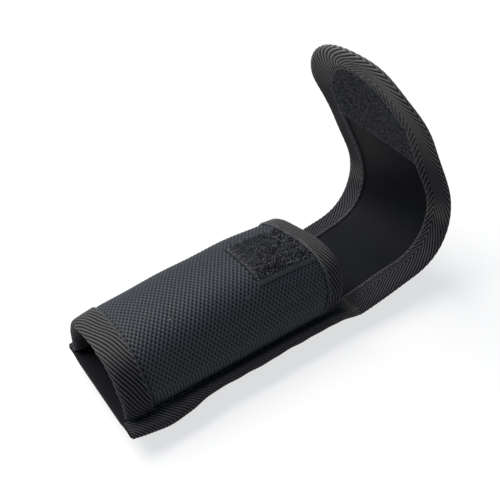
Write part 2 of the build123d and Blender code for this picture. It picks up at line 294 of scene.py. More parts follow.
def build(name, points, faces, material, cloth=None, hard=0, normals=None):
    """A mesh object from millimetre points. The last `hard` faces are flat-shaded rims, and `cloth` is what the
    cloth materials read."""
    mesh = bpy.data.meshes.new(name)
    mesh.from_pydata((np.asarray(points) / MM).tolist(), [], faces)
    soft = np.ones(len(faces), bool)
    if hard:
        soft[-hard:] = False
    mesh.polygons.foreach_set("use_smooth", soft)
    if cloth is not None:
        coords = mesh.attributes.new("cloth", "FLOAT_VECTOR", "POINT")
        coords.data.foreach_set("vector", np.asarray(cloth, np.float32).ravel())
    mesh.materials.append(material)
    mesh.update()
    if normals is not None:
        mesh.normals_split_custom_set_from_vertices(np.asarray(normals).tolist())
    return show(name, mesh)


def grid_faces(n, m, first=0):
    k = first + np.arange(n * m).reshape(n, m)
    return np.stack([k[:-1, :-1], k[1:, :-1], k[1:, 1:], k[:-1, 1:]], -1).reshape(-1, 4)


def slab(name, top, under, material, cloth, step=4, normals=None):
    """A closed piece between a face and one behind it, of which it keeps every step-th row and column."""
    under = under[::step, ::step]
    (n, m), (rows, cols) = top.shape[:2], under.shape[:2]
    first = n * m
    up, low = np.arange(first).reshape(n, m), first + np.arange(rows * cols).reshape(rows, cols)
    faces = grid_faces(n, m).tolist() + grid_faces(rows, cols, first)[:, ::-1].tolist()
    rims = []
    for j in range(cols - 1):
        here = np.arange(j * step, (j + 1) * step + 1)
        rims.append([*up[0, here], low[0, j + 1], low[0, j]])
        rims.append([*up[-1, here[::-1]], low[-1, j], low[-1, j + 1]])
    for i in range(rows - 1):
        here = np.arange(i * step, (i + 1) * step + 1)
        rims.append([*up[here[::-1], 0], low[i, 0], low[i + 1, 0]])
        rims.append([*up[here, -1], low[i + 1, -1], low[i, -1]])
    faces += [[int(t) for t in r] for r in rims]
    a, b = n // 2, m // 2
    out = top[a, b] - under[a // step, b // step]
    if np.dot(np.cross(top[a + 1, b] - top[a, b], top[a, b + 1] - top[a, b]), out) < 0:
        faces = [f[::-1] for f in faces]

    def joined(front, back):
        return np.concatenate([front.reshape(-1, 3), back.reshape(-1, 3)])

    if normals is not None:
        normals = normals * (1 if np.dot(normals[a, b], out) > 0 else -1)
        normals = joined(normals, -normals[::step, ::step])
    cloth = joined(cloth, cloth[::step, ::step])
    return build(name, joined(top, under), faces, material, cloth, len(rims), normals)


def spaced(start, end, pitch, step=4):
    """Even samples about pitch apart, in a number that the coarse side divides."""
    n = max(1, round(abs(end - start) / pitch / step)) * step
    return np.linspace(start, end, n + 1)


def tubes(name, lines, radius, material, sides=6, taper=0.55, flatten=1.0, up=(0, 0, 1)):
    """Many short round strands in one mesh. lines is strands x points x 3."""
    lines = np.asarray(lines, float)
    k, n = lines.shape[:2]
    along = unit(np.gradient(lines, axis=1))
    up = np.broadcast_to(np.asarray(up, float), (k, 3))[:, None, :]
    side = unit(np.cross(along, np.broadcast_to(up, along.shape) + 1e-4))  # never quite along the strand
    over = np.cross(side, along)
    share = np.linspace(-1, 1, n)
    thick = np.broadcast_to(np.asarray(radius, float).reshape(-1, 1), (k, 1))
    size = thick * (1 - (1 - taper) * np.abs(share) ** 3)
    turn = np.linspace(0, 2 * math.pi, sides, endpoint=False)
    ring = np.cos(turn)[:, None] * side[:, :, None, :] + flatten * np.sin(turn)[:, None] * over[:, :, None, :]
    points = (lines[:, :, None, :] + size[:, :, None, None] * ring).reshape(-1, 3)
    j, t = grid(np.arange(n - 1) * sides, np.arange(sides))
    after = (t + 1) % sides
    one = np.stack([j + t, j + after, j + sides + after, j + sides + t], -1).reshape(-1, 4)
    firsts = (np.arange(k) * n * sides)[:, None]
    faces = (one[None] + firsts[:, :, None]).reshape(-1, 4)[:, ::-1]
    caps = firsts + np.arange(sides)
    caps = np.stack([caps, (caps + (n - 1) * sides)[:, ::-1]], 1).reshape(-1, sides)
    return build(name, points, faces.tolist() + caps.tolist(), material)


THREAD_FLAT = 0.75  # a stitch's height as a share of its width


def stitches(name, place, start, end, w, d, seed, pitch=3.1, length=2.3, width=0.27, slant=0.0):
    """A row of separate stitches. place(a, w, d) gives points, a runs along the row."""
    rng = np.random.default_rng(seed)
    count = int((end - start) / pitch)
    mid = start + (np.arange(count) + 0.5) * (end - start) / count + rng.uniform(-0.12, 0.12, count)
    half = length / 2 * rng.uniform(0.88, 1.1, count)
    t = np.linspace(-1, 1, 9)
    a = mid[:, None] + half[:, None] * t
    off = w + rng.uniform(-0.1, 0.1, count)
    drift = rng.uniform(-0.12, 0.12, count) + slant
    rise = 0.2 - 0.42 * np.abs(t) ** 3.2
    lines = place(a, off[:, None] + drift[:, None] * t, d + rise)
    up = unit(place(mid, off, d + 1.0) - place(mid, off, d))
    return tubes(name, lines, width, THREAD, up=up, flatten=THREAD_FLAT)


# ---- relief of the cloths, in millimetres ----
def weave(a, b, band=0.0):
    """The ballistic weave, 0 in its pits to 1 on its crowns: rows along a, with crowns at every other cell.
    In a band along the seams it's drawn out into cross ribs."""
    row = np.sin(math.pi * b / CELL_B)
    along = np.sin(math.pi * a / CELL_A) * np.sign(row)
    plain = 1 - np.abs(row) ** 0.8 * smooth((0.15 - along) / 0.9) + 0.15 * np.abs(row) * np.clip(along, 0, 1)
    plain = plain - 0.4 * (1 - np.abs(row)) ** 3
    return plain * (1 - band) + band * (0.55 + 0.35 * np.sin(2 * math.pi * a / BAND_RIB))


def rib_crowns(phase):
    return (0.5 + 0.5 * np.cos(phase)) ** 1.2


def ribs(a, c, spine, pitch, lean):
    """The tape's twill ribs, turning at the spine. a along the tape, c across it from its fold."""
    return rib_crowns(2 * math.pi * (a + lean * np.abs(c - spine)) / pitch)


def foot_ribs(a, c, _spine, pitch, _lean):
    """The foot tape is eased round the arch, so its ribs lie flatter towards the top than at the seams."""
    low = np.minimum(a, ARCH_LENGTH - a)
    ease = 0.30 * a + 0.42 * np.where(a < ARCH_LENGTH / 2, -1, 1) * 9.0 * np.exp(-low / 9.0)
    return rib_crowns(2 * math.pi * (ease + c + 0.35 * np.sin(a * 0.31) * smooth(c / 9)) / pitch)


TURN_START, TURN_REACH = 130.0, 50.0  # round the flap's edge, where the herringbone changes to the far edge's
FAR_PITCH = 3.6
FINE_REACH = 80.0  # how far from the mouth the flap's ribs are finer


def ramp_sum(a, start, reach):
    """What smooth((a - start) / reach) adds up to by a."""
    t = np.clip((a - start) / reach, 0, 1)
    return reach * (t**3 - t**4 / 2) + np.maximum(a - start - reach, 0)


def flap_ribs(a, c, spine, pitch, lean):
    """The flap tape's herringbone: finest by the mouth, and drawn out along the far edge."""
    left = RIM_LENGTH - a
    far = smooth((a - TURN_START) / TURN_REACH)
    finer = 0.5 * (a - ramp_sum(a, 0, FINE_REACH) - left + ramp_sum(left, 0, FINE_REACH))
    phase = (a + finer) / pitch - (1 / pitch - 1 / FAR_PITCH) * ramp_sum(a, TURN_START, TURN_REACH)
    closer = 1.5 - 0.5 * smooth(np.minimum(a, left) / FINE_REACH)
    phase = phase + (lean / pitch - 0.11 * far) * closer * np.abs(c - spine)
    return rib_crowns(2 * math.pi * phase)


# ---- materials ----
class Look:
    """A procedural material on one Principled shader, with helpers that return output sockets."""

    def __init__(self, name):
        self.material = bpy.data.materials.new(name)
        self.material.use_nodes = True
        self.nodes = self.material.node_tree.nodes
        self.shader = self.nodes["Principled BSDF"]

    def plug(self, socket, value):
        if isinstance(value, bpy.types.NodeSocket):
            self.material.node_tree.links.new(value, socket)
        else:
            socket.default_value = value

    def node(self, kind, *values, **named):
        """A new node, with values or links on its first inputs and on those that are named."""
        node = self.nodes.new("ShaderNode" + kind)
        for socket, value in zip(node.inputs, values):
            self.plug(socket, value)
        for name, value in named.items():
            self.plug(node.inputs[name], value)
        return node

    def coords(self):
        node = self.node("Attribute")
        node.attribute_name = "cloth"
        return node.outputs["Vector"]

    def place(self):
        return self.node("TexCoord").outputs["Object"]

    def split(self, vector):
        return self.node("SeparateXYZ", vector).outputs

    def join(self, x, y):
        return self.node("CombineXYZ", x, y).outputs[0]

    def calc(self, operation, *values):
        node = self.node("Math", *values)
        node.operation = operation
        return node.outputs[0]

    def times(self, a, b):
        return self.calc("MULTIPLY", a, b)

    def plus(self, a, b):
        return self.calc("ADD", a, b)

    def less(self, a, b):
        return self.calc("SUBTRACT", a, b)

    def wave(self, value, period):
        return self.calc("SINE", self.times(value, 2 * math.pi / period))

    def threads(self, a, c, along, across, detail):
        """Noise drawn out along a cloth's threads."""
        return self.noise(self.join(self.times(a, along), self.times(c, across)), 1.0, detail)

    def noise(self, vector, scale, detail=2.0, rough=0.5):
        return self.node("TexNoise", Vector=vector, Scale=scale, Detail=detail, Roughness=rough).outputs["Fac"]

    def span(self, value, low, high, to_low=0.0, to_high=1.0):
        return self.node("MapRange", value, low, high, to_low, to_high).outputs[0]

    def mix(self, share, first, second):
        node = self.nodes.new("ShaderNodeMix")
        node.data_type = "RGBA"
        self.plug(node.inputs[0], share)
        self.plug(node.inputs[6], (*first, 1) if isinstance(first, tuple) else first)
        self.plug(node.inputs[7], (*second, 1) if isinstance(second, tuple) else second)
        return node.outputs[2]

    def bump(self, height, distance):
        return self.node("Bump", Height=height, Distance=distance).outputs[0]

    def specks(self, vector, scale, size, share):
        """Rare tiny dots, 0 or 1: a share of the cells of a Voronoi hold one."""
        cells = self.node("TexVoronoi", Vector=vector, Scale=scale).outputs
        dot = self.calc("LESS_THAN", cells["Distance"], size)
        return self.times(dot, self.calc("LESS_THAN", self.split(cells["Color"])[0], share))

    def finish(self, colour, rough, normal=None, sheen=0.0, sheen_rough=0.5, specular=0.5):
        sockets = {"Base Color": colour, "Roughness": rough, "Sheen Weight": sheen, "Sheen Roughness": sheen_rough,
                   "Specular IOR Level": specular, "IOR": 1.5}
        for name, value in sockets.items():
            self.plug(self.shader.inputs[name], value)
        if normal is not None:
            self.plug(self.shader.inputs["Normal"], normal)
        return self.material


def ballistic_nylon():
    m = Look("ballistic_nylon")
    cloth = m.coords()
    a, b, band = m.split(cloth)
    wave_a, wave_b = m.wave(a, 2 * CELL_A), m.wave(b, 2 * CELL_B)
    over = m.times(wave_a, m.calc("SIGN", wave_b))
    row = m.calc("ABSOLUTE", wave_b)
    pit = m.times(m.calc("POWER", row, 0.8), m.span(over, -0.7, 0.15, 1.0, 0.0))
    rib = m.span(m.wave(a, BAND_RIB), -1.0, 1.0, 0.2, 0.75)
    groove = m.times(m.calc("POWER", m.less(1.0, row), 3.0), 0.4)
    crown = m.mix(band, m.less(m.less(1.0, pit), groove), rib)
    warp, weft = m.threads(a, b, 0.9, 7.0, 2.0), m.threads(a, b, 7.0, 0.9, 2.0)
    fibre = m.plus(m.times(warp, crown), m.times(weft, m.less(1.0, crown)))
    patch = m.noise(cloth, 0.06, 3.0, 0.6)
    # the cross-ribbed band by the seams is painted lighter: painted sheen
    net_with_band_sheen = m.mix(band, (0.028, 0.031, 0.0365), (0.04, 0.051, 0.057))
    # the weave's pits are painted near black: painted shade in the hollows, which the bump can't cast
    pits = m.mix(m.span(crown, 0.15, 0.7), (0.0012, 0.0014, 0.0022), net_with_band_sheen)
    shade = m.mix(m.span(patch, 0.3, 0.7, 0, 0.22), pits, (0.017, 0.02, 0.025))
    fine = m.mix(m.times(m.span(fibre, 0.35, 0.7, 0, 0.5), crown), shade, (0.06, 0.068, 0.082))
    colour = m.mix(m.specks(cloth, 0.16, 0.035, 0.35), fine, (0.45, 0.46, 0.47))
    rough = m.span(m.plus(crown, m.times(fibre, 0.3)), 0.0, 1.2, 0.72, 0.40)
    height = m.plus(m.times(crown, 0.8), m.times(fibre, 0.35))
    return m.finish(colour, rough, m.bump(height, 0.00012), sheen=0.03, sheen_rough=0.35, specular=0.12)


def binding_tape():
    m = Look("binding_tape")
    a, c, rib = m.split(m.coords())
    thread, cross = m.wave(c, 0.42), m.wave(a, 0.5)
    grain = m.threads(a, c, 3.0, 6.0, 3.0)
    worn = m.noise(m.join(a, c), 0.12, 3.0, 0.6)
    # the grooves between the ribs are painted near black: painted shade in the grooves
    base = m.mix(m.span(rib, 0.1, 0.9), (0.0007, 0.0008, 0.0013), (0.042, 0.043, 0.048))
    shade = m.mix(m.times(rib, m.span(worn, 0.35, 0.75, 0, 0.4)), base, (0.05, 0.051, 0.054))
    edge = m.span(m.calc("ABSOLUTE", c), 0.0, 2.2, 0.45, 0.0)
    lit = m.mix(m.times(edge, rib), shade, (0.085, 0.085, 0.085))
    # painted paler as light from above: painted light round the flap's tip, which only its long tape reaches, and along
    # the crest of the arch
    level = m.split(m.place())[2]
    tip = m.times(m.span(a, 86.0, 138.0, 0, 0.85), m.span(a, 160.0, 200.0, 1.0, 0.0))
    crest = m.times(m.span(level, 0.0285, 0.033, 0, 0.22), m.span(level, 0.036, 0.042, 1.0, 0.0))
    painted_top_light = m.times(m.calc("MAXIMUM", tip, crest), m.span(rib, 0.0, 0.8, 0.08, 1.0))
    pale = m.mix(painted_top_light, lit, (0.185, 0.181, 0.172))
    strand = m.times(m.span(grain, 0.35, 0.72, 0, 0.3), rib)
    # the selvage bead is painted brighter than the tape: a painted highlight
    cord = m.mix(m.span(rib, 1.0, 1.7, 0, 0.9), pale, (0.135, 0.137, 0.143))
    colour = m.mix(strand, cord, (0.085, 0.086, 0.09))
    rough = m.span(m.plus(rib, m.times(grain, 0.4)), 0.0, 1.3, 0.8, 0.5)
    height = m.plus(m.times(m.times(thread, cross), 0.25), grain)
    return m.finish(colour, rough, m.bump(height, 0.00009), sheen=0.03, sheen_rough=0.4, specular=0.06)


def lining_cloth():
    m = Look("lining")
    cloth = m.coords()
    a, b, _ = m.split(cloth)
    knit = m.times(m.wave(a, 0.55), m.wave(b, 0.45))
    grain = m.noise(cloth, 2.2, 3.0, 0.6)
    soft = m.noise(cloth, 0.05, 3.0, 0.55)
    base = m.mix(m.span(soft, 0.3, 0.7), (0.002, 0.0023, 0.0036), (0.0034, 0.0039, 0.0056))
    shade = m.mix(m.span(grain, 0.4, 0.7, 0, 0.4), base, (0.0068, 0.0075, 0.0098))
    colour = m.mix(m.specks(cloth, 0.14, 0.03, 0.3), shade, (0.3, 0.31, 0.32))
    height = m.plus(m.times(knit, 0.3), grain)
    rough = m.span(grain, 0.3, 0.7, 0.78, 0.62)
    return m.finish(colour, rough, m.bump(height, 0.00006), sheen=0.012, specular=0.08)


def foam_core():
    m = Look("foam")
    cells = m.node("TexVoronoi", Vector=m.place(), Scale=1800.0).outputs["Distance"]
    tone = m.mix(m.span(cells, 0, 0.6), (0.02, 0.02, 0.021), (0.055, 0.055, 0.057))
    return m.finish(tone, m.span(cells, 0.0, 0.6, 0.85, 0.95), m.bump(cells, 0.0002))


def hook_tape():
    m = Look("hook_tape")
    place = m.place()
    grain = m.noise(place, 900.0, 3.0)
    wide = m.noise(place, 160.0, 2.0)
    base = m.mix(m.span(wide, 0.35, 0.65), (0.0018, 0.0018, 0.0026), (0.005, 0.0052, 0.0068))
    selvage = m.split(m.coords())[2]
    woven = m.mix(selvage, base, (0.034, 0.038, 0.045))
    colour = m.mix(m.span(grain, 0.4, 0.7, 0, 0.5), woven, (0.02, 0.021, 0.024))
    return m.finish(colour, m.span(grain, 0.3, 0.7, 0.6, 0.45), m.bump(grain, 0.0001), specular=0.2)


def hook_fibre():
    m = Look("hook_fibre")
    tone = m.noise(m.place(), 520.0, 1.0)
    colour = m.mix(m.span(tone, 0.35, 0.7), (0.005, 0.005, 0.007), (0.16, 0.17, 0.195))
    return m.finish(colour, m.span(tone, 0.3, 0.7, 0.45, 0.25), specular=0.4)


def loop_fibre(name, dark, light):
    m = Look(name)
    tone = m.noise(m.place(), 900.0, 2.0)
    colour = m.mix(m.span(tone, 0.35, 0.7), dark, light)
    rough = m.span(tone, 0.3, 0.7, 0.8, 0.6)
    return m.finish(colour, rough, m.bump(tone, 0.0001), sheen=0.12, specular=0.15)


def webbing():
    m = Look("webbing")
    a, c, rib = m.split(m.coords())
    pick = m.wave(m.plus(a, m.times(c, 0.6)), 1.1)
    grain = m.threads(a, c, 2.0, 7.0, 3.0)
    # between the wales the webbing is painted darker: painted shade in the grooves
    base = m.mix(rib, (0.0045, 0.0045, 0.005), (0.022, 0.022, 0.024))
    colour = m.mix(m.span(grain, 0.35, 0.7, 0, 0.45), base, (0.036, 0.036, 0.039))
    height = m.plus(m.times(pick, 0.3), grain)
    rough = m.span(grain, 0.3, 0.7, 0.7, 0.48)
    return m.finish(colour, rough, m.bump(height, 0.00012), sheen=0.04, specular=0.2)


def sewing_thread():
    m = Look("thread")
    twist = m.noise(m.place(), 1500.0, 2.0)
    colour = m.mix(m.span(twist, 0.35, 0.65), (0.014, 0.014, 0.016), (0.075, 0.075, 0.08))
    rough = m.span(twist, 0.3, 0.7, 0.6, 0.4)
    return m.finish(colour, rough, m.bump(twist, 0.00008), sheen=0.05, specular=0.25)


NYLON, BINDING, LINER, FOAMED = ballistic_nylon(), binding_tape(), lining_cloth(), foam_core()
HOOK_BASE, HOOKS, WEB, THREAD = hook_tape(), hook_fibre(), webbing(), sewing_thread()
LOOP_BASE = loop_fibre("loop_tape", (0.003, 0.0034, 0.0048), (0.011, 0.012, 0.016))
LOOPS = loop_fibre("loop_fibre", (0.003, 0.0036, 0.006), (0.085, 0.09, 0.108))


def stand(obj, slot, body=None, blend=None, nodes=()):
    """Settles a piece: parents it to its body, or for a blended piece bakes its transform, and hides the CAD nodes that
    it stands for. The material slot is not used.
    """
    if blend:
        (first, second), start, end = blend
        low, high = (tuple(panel(s, 0.0, LAMINATE / 2) / MM) for s in (start, end))
        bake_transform(obj)
    else:
        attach(obj, body)
    if nodes:
        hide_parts(*nodes)


# ---- back panel and flap, in four groups along their length ----
# what a piece follows: a body, or two and where along the flap it changes over
POUCH = dict(body="pouch")
BASE_MOTION = dict(blend=(("pouch", "flap_base"), -10.0, 14.0))
CROWN_MOTION = dict(blend=(("flap_base", "flap_crown"), 26.0, 50.0))
TIP_MOTION = dict(blend=(("flap_crown", "flap_tip"), 55.0, 79.0))
GROUPS = (
    ("back", -LENGTH, CUTS[0], POUCH),
    ("flap_base", CUTS[0], CUTS[1], BASE_MOTION),
    ("flap_crown", CUTS[1], CUTS[2], CROWN_MOTION),
    ("flap_tip", CUTS[2], FLAP_LENGTH, TIP_MOTION),
)


def lengthwise(start, end, pitch, step=4):
    """Samples along the flap; those of the tip stop where the tape's leg hides the panel's end."""
    return spaced(start, min(end, TIP_START + (TIP_LENGTH - TIP_TRIM) * 0.985), pitch, step)


def overhang(s, y):
    """How far the back panel's foot edge stands past the front panel's, fading into the panel."""
    t = (y + HALF) / (2 * HALF)
    return (FOOT_OVERHANG[0] * (1 - t) + FOOT_OVERHANG[1] * t) * (1 - smooth((s + LENGTH) / 25))


def spread(start, end, along, across, step=4, inset=0.0):
    """Samples of the panel: along it, across it as a share of its half-width, and across it."""
    S, T = grid(lengthwise(start, end, along, step), spaced(-1, 1, across / HALF, step))
    return S, T, T * half_width(S, TRIM + inset, TIP_TRIM + inset)


def outer_face(S, Y, T):
    return panel(S, Y, LAMINATE - 0.06 + 0.17 * weave(S, T * HALF))


def lining_face(S, Y, _T):
    return panel(S, Y, 0.0)


def face_normals(face, S, Y, T):
    """Normals from a face's own formula, so that they agree where two groups meet."""
    e = 0.12
    along = face(S + e, Y, T) - face(S - e, Y, T)
    across = face(S, Y + e, T + e / HALF) - face(S, Y - e, T - e / HALF)
    return unit(np.cross(along, across))


TURNED = 10  # rows of the back lining's turned edge

for group, start, end, motion in GROUPS:
    S, T, Y = spread(start, end, 0.3, 0.4)
    S = S - overhang(S, Y)
    outer = slab(group + "_outer_cloth", outer_face(S, Y, T), panel(S, Y, LAMINATE - CLOTH + 0.1), NYLON,
                 flat(S, T * HALF), normals=face_normals(outer_face, S, Y, T))
    stand(outer, "ballistic_nylon", nodes=[group + "_outer"], **motion)
    S, T, Y = spread(start, end, 0.9, 0.9, 2)
    S = S - overhang(S, Y)
    if group == "back":  # the lining is turned round the foot edge
        turn = np.linspace(0, math.pi, TURNED + 1)[:-1, None]
        ring_s, ring_d = S[:1] - 0.5 * np.sin(turn), LAMINATE / 2 * (1 + np.cos(turn)) + 0 * S[:1]
        under_s = np.concatenate([np.repeat(S[:1], TURNED, 0), S]) + 0.02
        D = np.concatenate([ring_d, 0 * S])
        S = np.concatenate([ring_s, S])
        T, Y = (np.concatenate([np.repeat(v[:1], TURNED, 0), v]) for v in (T, Y))
        under = panel(under_s, Y, np.clip(D, LINING, LAMINATE - 0.05))
        liner = slab("back_lining_cloth", panel(S, Y, D), under, LINER, flat(S - D, T * HALF), 2)
    else:
        liner = slab(group + "_lining_cloth", lining_face(S, Y, T), panel(S, Y, LINING - 0.03), LINER,
                     flat(S, T * HALF), 2, normals=face_normals(lining_face, S, Y, T))
    stand(liner, "lining", nodes=[group + "_lining"], **motion)
    S, T, Y = spread(start + (0.6 if group == "back" else 0), end, 1.6, 1.6, 2, inset=0.1)
    core = slab(group + "_foam_core", panel(S, Y, LINING), panel(S, Y, LAMINATE - CLOTH), FOAMED, flat(S, Y), 2)
    stand(core, "foam", nodes=[group + "_foam"], **motion)
    size = (2 * HALF / MM, (end - start) / MM)


# ---- binding tapes ----
FOLD_REACH = 1.8  # how far in from the fold the tape lies flat
HALF_TURN = 80  # samples of each leg, and of the fold, before they are evened out


def profile(thick, leg_top=LEG, leg_under=LEG):
    """The tape's outer face across its fold: w inward, d up, their normal, and the distance from the fold."""
    turn = np.linspace(0, math.pi, HALF_TURN)
    round_w = FOLD_REACH - (FOLD_REACH + TAPE) * np.sin(turn)
    round_d = -thick / 2 + (thick / 2 + TAPE) * np.cos(turn)
    legs = np.linspace(leg_top, FOLD_REACH, HALF_TURN)[:-1], np.linspace(FOLD_REACH, leg_under, HALF_TURN)[1:]
    w = np.concatenate([legs[0], round_w, legs[1]])
    d = np.concatenate([np.full(HALF_TURN - 1, TAPE), round_d, np.full(HALF_TURN - 1, -thick - TAPE)])
    gone = travel(np.stack([w, d], -1))
    fold = gone[HALF_TURN - 1 + HALF_TURN // 2]
    even = np.linspace(0, gone[-1], round(gone[-1] / 0.21 / 4) * 4 + 1)
    w, d = np.interp(even, gone, w), np.interp(even, gone, d)
    return w, d, unit(np.stack([np.gradient(d), -np.gradient(w)], -1)), fold - even


def bind(name, place, start, end, thick, spine, motion=POUCH, pitch=3.1, lean=1.9, relief=0.26, bead=0.22,
         wavy=0.0, seed=1, joined=False, twill=ribs, fine=0.36, cord=0.0, **legs):
    """A folded tape along place(a, w, d), with ribs, a bead of width `cord` along its selvages and an uneven fold.
    Tapes that are joined end to end take their normals from the formula, so that they agree."""
    w, d, normal, c = profile(thick, **legs)
    a = spaced(start, end, fine)
    A, W = grid(a, w)
    D, C = (grid(a, v)[1] for v in (d, c))
    ends = np.minimum(np.abs(C - c[0]), np.abs(C - c[-1]))
    selvage = bell(np.maximum(ends - cord, 0) / 0.5)
    shift, tone = np.random.default_rng(seed).uniform(0, 6, 4), 1 / np.array([5.3, 9.1, 3.1, 14.7])
    nw, nd = normal.T

    def shape(A):
        """The ribs, how far the face stands off the fold's smooth outline, and how far the fold strays."""
        rib = twill(A, np.abs(C), spine(A) if callable(spine) else spine, pitch, lean)
        unevenness = sum(np.sin(A * f * 2 + p) for f, p in zip(tone, shift)) / 4
        lift = relief * rib * (1 - 0.7 * selvage) + bead * selvage - 0.12 - (0.42 + bead) * bell(ends / 0.2)
        return rib, lift, bell(C / 3.0) * wavy * unevenness

    def face(A):
        _, lift, fold = shape(A)
        return place(A, W + nw * lift - fold, D + nd * lift)

    rib, _, fold = shape(A)
    top = face(A)
    normals = unit(np.cross(face(A + 0.1) - face(A - 0.1), np.gradient(top, axis=1))) if joined else None
    back = place(A, W - nw * (TAPE - 0.1) - fold, D - nd * (TAPE - 0.1))
    lit = rib * (1 - selvage) + selvage * (0.75 + bead * (1 + np.sin(A * 2 * math.pi / 1.5)))
    tape = slab(name, top, back, BINDING, np.stack([A, C, lit], -1), 4, normals)
    stand(tape, "binding_tape", nodes=[name.replace("tape", "binding")], **motion)


def foot_place(a, w, d):
    return arch_place(w, a, d)


def mouth_place(a, w, d):
    return arch_place(mouth_rim(a) - w, a, d)


def flange_place(side):
    """Along a side seam: a from the foot, w inward from the panel's edge, d above the lining."""
    def place(a, w, d):
        a, w, d = np.broadcast_arrays(a, w, d)
        leg = 0.66 + 0.34 * smooth((a - LENGTH + 5) / 5)
        upper = smooth((d + 1.0) / 1.5)
        inward = w * (1 - upper) + upper * (w * leg)
        drop = upper * 0.55 * smooth((a - LENGTH + 2.5) / 3)
        y = side * (HALF - inward)
        return panel(a - LENGTH - overhang(a - LENGTH, y), y, -(d - drop))
    return place


near_place, far_place = flange_place(-1), flange_place(1)
SEAM = 0.9  # how far in from the arch's bases its tapes start and end
LOW, HIGH = SEAM, ARCH_LENGTH - SEAM
SIDE_LAP = 3.4  # how far the side tapes run past the mouth
bind("foot_tape", foot_place, LOW, HIGH, LAMINATE, -20.0, pitch=1.3, relief=0.34, bead=0.12, wavy=0.25, seed=2,
     twill=foot_ribs)
bind("mouth_tape", mouth_place, LOW, HIGH, LAMINATE, 20.0, pitch=3.3, lean=2.4, relief=0.3, bead=0.12, wavy=0.25,
     seed=3, leg_top=MOUTH_LEG)
for side, place, seed in (("near", near_place, 4), ("far", far_place, 5)):

    def lifted(a, w, d, place=place):
        """The side tape folds over the front panel's flange too, so d is measured from there."""
        return place(a, w, d + FLANGE_RISE)

    bind(f"side_tape_{side}", lifted, 0.0, LENGTH + SIDE_LAP, LAMINATE + FLANGE_RISE, -9.0, pitch=1.25,
         lean=0.55, relief=0.2, bead=0.12, wavy=0.45, seed=seed, fine=0.25)

TAPE_START = 3.3  # from the mouth corner, round the flap's edge


def flap_spine(a):
    """The herringbone's spine shifts across the tape from the near edge to the far one."""
    return 8.5 + 5.5 * smooth((a - TURN_START) / TURN_REACH)


FAR_CUTS = [RIM_LENGTH - cut for cut in CUTS]
for name, start, end, motion in (
    ("flap_base_tape_near", TAPE_START, CUTS[1], BASE_MOTION),
    ("flap_crown_tape_near", CUTS[1], CUTS[2], CROWN_MOTION),
    ("flap_tip_tape", CUTS[2], FAR_CUTS[2], TIP_MOTION),
    ("flap_crown_tape_far", FAR_CUTS[2], FAR_CUTS[1], CROWN_MOTION),
    ("flap_base_tape_far", FAR_CUTS[1], RIM_LENGTH - TAPE_START, BASE_MOTION),
):
    bind(name, rim_place, start, end, LAMINATE, flap_spine, motion, relief=0.36, bead=0.5, joined=True, cord=0.35,
         twill=flap_ribs, leg_top=FLAP_LEG, leg_under=FLAP_LEG)


# ---- the front panel ----
X, B = grid(spaced(0, 1, 0.325 / LENGTH), spaced(-FLANGE_SPAN, ARCH_LENGTH + FLANGE_SPAN, 0.32))
low = np.minimum(B, ARCH_LENGTH - B)  # distance up the arch from its nearer base
rim = mouth_rim(B) - TRIM
reach = LENGTH - TRIM
over_arch = 1 - smooth((-B) / 2) - smooth((B - ARCH_LENGTH) / 2)
X = TRIM + X * (reach - TRIM) - (reach - rim) * smooth((X - 0.7) / 0.3) * over_arch
rows = B - ARCH_LENGTH / 2
rows = rows + np.sign(rows) * 2.4 * np.clip(1 - low / 9.0, 0, 1) ** 2  # crowded together by the seams
band = smooth((9.0 - low) / 3.5) * smooth((B + 1.5) / 1.0) * smooth((ARCH_LENGTH + 1.5 - B) / 1.0)
sewn = -0.5 * bell((X - LEG - 0.2) / 0.6) - 0.5 * bell((X - mouth_rim(B) + MOUTH_LEG + 0.2) / 0.6)
swell = 0.9 * bell((low - 4.0) / 2.6) * smooth((X - LEG) / 6) * smooth((LENGTH - MOUTH_LEG - X) / 6)
front = slab("front_outer_cloth", arch_place(X, B, 0.26 * weave(X, rows, band) - 0.12 + sewn + swell),
             arch_place(X, B, -CLOTH + 0.06), NYLON, np.stack([X, rows, band], -1))
stand(front, "ballistic_nylon", nodes=["front_outer"], **POUCH)


def under_front(start, pitch):
    """Samples of a layer under the front cloth, start being how far from the arch's bases it begins."""
    X, B = grid(spaced(0, 1, pitch / LENGTH, 2), spaced(start, ARCH_LENGTH - start, pitch, 2))
    return TRIM + X * (mouth_rim(B) - 2 * TRIM), B


X, B = under_front(0.9, 1.2)
core = slab("front_foam_core", arch_place(X, B, -CLOTH), arch_place(X, B, -CLOTH - FOAM), FOAMED, flat(X, B), 2)
stand(core, "foam", nodes=["front_foam"], **POUCH)
X, B = under_front(0.4, 0.9)
liner = slab("front_lining_cloth", arch_place(X, B, -LAMINATE),
             arch_place(X, B, -LAMINATE + LINING - 0.05), LINER, flat(X, B), 2)
stand(liner, "lining", nodes=["front_lining"], **POUCH)


# ---- hook patch ----
HOOK_START, HOOK_MIDDLE, HOOK_LENGTH = 62.2, 76.0, 27  # along the sleeve from its foot
HOOK_PITCH = (0.84, 0.86)  # along the sleeve and round it


def hook_end(b):
    """The patch runs up to the mouth binding, which isn't quite square across the sleeve."""
    return mouth_rim(b) - MOUTH_LEG - 0.5


